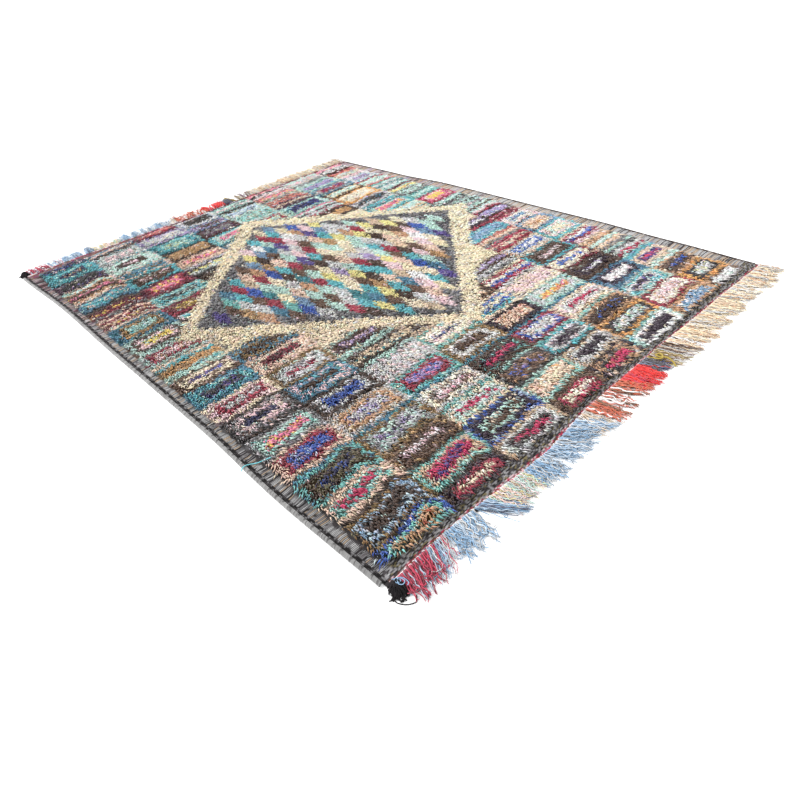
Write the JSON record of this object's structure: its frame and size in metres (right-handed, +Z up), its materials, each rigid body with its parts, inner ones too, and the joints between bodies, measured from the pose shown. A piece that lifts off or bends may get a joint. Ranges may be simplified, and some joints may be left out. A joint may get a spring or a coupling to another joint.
{
  "type": "boucherouite rug",
  "caption": "Boucherouite rug lying flat: knotted rag pile in striped boxes round a lozenge of diamonds, with a wrapped side cord, fringed ends and corner tassels.",
  "frame": {"origin": "centre of the rug's underside, on the floor", "axes": "+X across the width from the corded side to the plain side, +Y along the warps towards the far fringed end, +Z up out of the pile"},
  "size_m": [1.784, 2.4, 0.0204],
  "materials": {
    "rag_pile": "shaggy knotted rag pile of many colours",
    "grey_cord_wool": "matt wrapped wool",
    "black_wool": "matt wool yarn",
    "crimson_warp": "matt cotton yarn",
    "pale_blue_warp": "matt cotton yarn",
    "sky_blue_warp": "matt cotton yarn",
    "mid_blue_warp": "matt cotton yarn",
    "peach_green_warp": "matt cotton yarn",
    "light_blue_warp": "matt cotton yarn",
    "white_warp": "matt cotton yarn",
    "terracotta_warp": "matt cotton yarn",
    "red_warp": "matt cotton yarn",
    "slate_warp": "matt cotton yarn",
    "mustard_warp": "matt cotton yarn",
    "brown_beige_warp": "matt cotton yarn",
    "cream_warp": "matt cotton yarn"
  },
  "bodies": {
    "root": {"rug_cloth": "rag_pile", "side_cord": "grey_cord_wool", "corner_tassel_near": "black_wool", "corner_tassel_far": "black_wool", "fringe_near_crimson": "crimson_warp", "fringe_near_pale_blue": "pale_blue_warp", "fringe_near_sky_blue": "sky_blue_warp", "fringe_near_blue_tuft": "mid_blue_warp", "fringe_near_peach_green": "peach_green_warp", "fringe_near_light_blue": "light_blue_warp", "fringe_near_white": "white_warp", "fringe_near_terracotta": "terracotta_warp", "fringe_near_red": "red_warp", "fringe_near_slate": "slate_warp", "fringe_near_mustard": "mustard_warp", "fringe_near_brown_beige": "brown_beige_warp", "fringe_near_cream": "cream_warp", "fringe_far_crimson": "crimson_warp", "fringe_far_pale_blue": "pale_blue_warp", "fringe_far_sky_blue": "sky_blue_warp", "fringe_far_blue_tuft": "mid_blue_warp", "fringe_far_peach_green": "peach_green_warp", "fringe_far_light_blue": "light_blue_warp", "fringe_far_white": "white_warp", "fringe_far_terracotta": "terracotta_warp", "fringe_far_red": "red_warp", "fringe_far_slate": "slate_warp", "fringe_far_mustard": "mustard_warp", "fringe_far_brown_beige": "brown_beige_warp", "fringe_far_cream": "cream_warp"}
  },
  "joints": []
}
